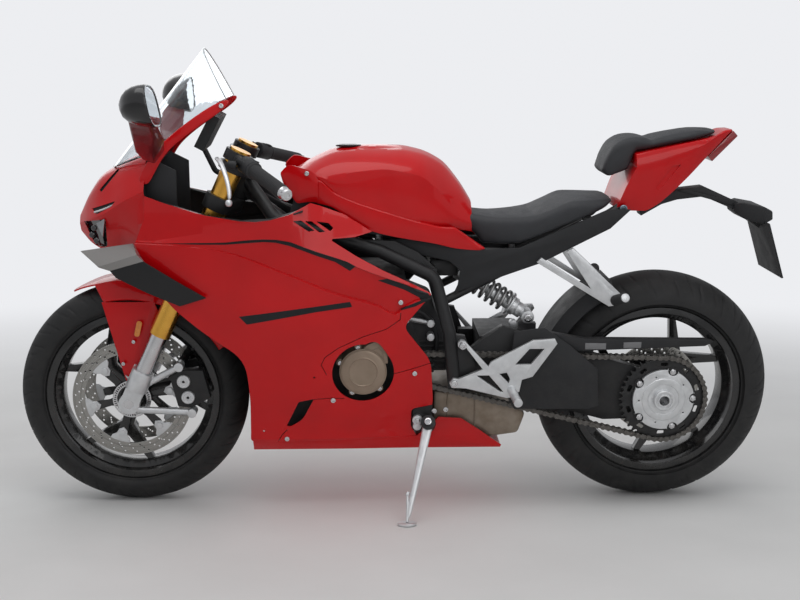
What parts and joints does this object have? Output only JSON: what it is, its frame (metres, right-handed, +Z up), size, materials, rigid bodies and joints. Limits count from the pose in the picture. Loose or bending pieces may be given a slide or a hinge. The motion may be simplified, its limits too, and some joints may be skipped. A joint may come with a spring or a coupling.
{
  "type": "sport bike",
  "caption": "Fully faired sport motorcycle leaning on its side stand, with free wheels, turning fork and folding stand.",
  "frame": {"origin": "middle of the bounding box's base, on the ground under the parked machine", "axes": "+X forward along the machine, +Y to its left, towards the side stand, +Z up from the ground"},
  "size_m": [1.9978, 0.7506, 1.1925],
  "materials": {
    "tyre": "dusty black rubber",
    "gloss_black": "gloss black",
    "disc_steel": "brushed",
    "gold": "gold anodised",
    "bright_steel": "bright",
    "cast_alloy": "machined",
    "black_metal": "satin black",
    "black_plastic": "matt black",
    "grip_rubber": "ribbed rubber",
    "engine_grey": "dark cast",
    "bronze_cover": "bronze",
    "chain_steel": "oiled",
    "red_paint": "gloss red",
    "lamp_lens": "smoked lens",
    "screen": "clear",
    "seat_cover": "black grained cover",
    "tail_lens": "red lens",
    "radiator_black": "matt black",
    "brown_steel": "heat browned steel"
  },
  "bodies": {
    "chassis": {"belly_fairing": "red_paint", "chain": "chain_steel", "chain_guard": "black_plastic", "cockpit_panels": "black_plastic", "engine_block": "engine_grey", "engine_covers": "bronze_cover", "exhaust_headers": "brown_steel", "front_sprocket": "black_metal", "fuel_tank": "red_paint", "headlamps": "lamp_lens", "hugger": "black_plastic", "instrument": "black_plastic", "main_frame": "black_metal", "mirrors": "black_plastic", "muffler": "brown_steel", "nose_cowl": "red_paint", "passenger_footrests": "cast_alloy", "passenger_seat": "seat_cover", "plate_holder": "black_plastic", "radiator": "radiator_black", "rear_caliper": "black_metal", "rider_footrests": "cast_alloy", "rider_seat": "seat_cover", "seat_covers": "black_plastic", "shock": "bright_steel", "side_fairing_left": "red_paint", "side_fairing_right": "red_paint", "sprocket_cover": "black_plastic", "stand_bracket": "black_metal", "swingarm": "black_metal", "tail_cowl": "red_paint", "tail_lamp": "tail_lens", "windscreen": "screen", "winglets": "black_plastic"},
    "steering": {"fork_inner_tubes": "bright_steel", "fork_outer_tubes": "gold", "fork_feet": "cast_alloy", "front_axle": "bright_steel", "fork_clamps": "black_metal", "front_calipers": "black_metal", "front_fender": "red_paint", "handlebars": "black_metal", "grips": "grip_rubber", "switch_pods": "black_plastic", "levers": "cast_alloy"},
    "front_wheel": {"front_tyre": "tyre", "front_rim": "gloss_black", "front_discs": "disc_steel"},
    "rear_wheel": {"rear_tyre": "tyre", "rear_rim": "gloss_black", "rear_sprocket": "black_metal", "sprocket_carrier": "cast_alloy", "rear_disc": "disc_steel"},
    "side_stand": {"side_stand": "cast_alloy"}
  },
  "joints": [
    {"name": "steering", "type": "hinge", "parent": "chassis", "child": "steering", "pos_m": [0.4122, -0.02287, 0.83366], "axis": [-0.4226, 0.1105, 0.8996], "range_deg": [-27, 27]},
    {"name": "front_wheel", "type": "hinge", "parent": "steering", "child": "front_wheel", "pos_m": [0.699, -0.0886, 0.29836], "axis": [0, 0.9925, -0.1219], "continuous": true},
    {"name": "rear_wheel", "type": "hinge", "parent": "chassis", "child": "rear_wheel", "pos_m": [-0.686, -0.08702, 0.31126], "axis": [0, 0.9925, -0.1219], "continuous": true},
    {"name": "side_stand", "type": "hinge", "parent": "chassis", "child": "side_stand", "pos_m": [-0.074, 0.06509, 0.23717], "axis": [0.099, 0.891, 0.443], "range_deg": [0, 95]}
  ]
}
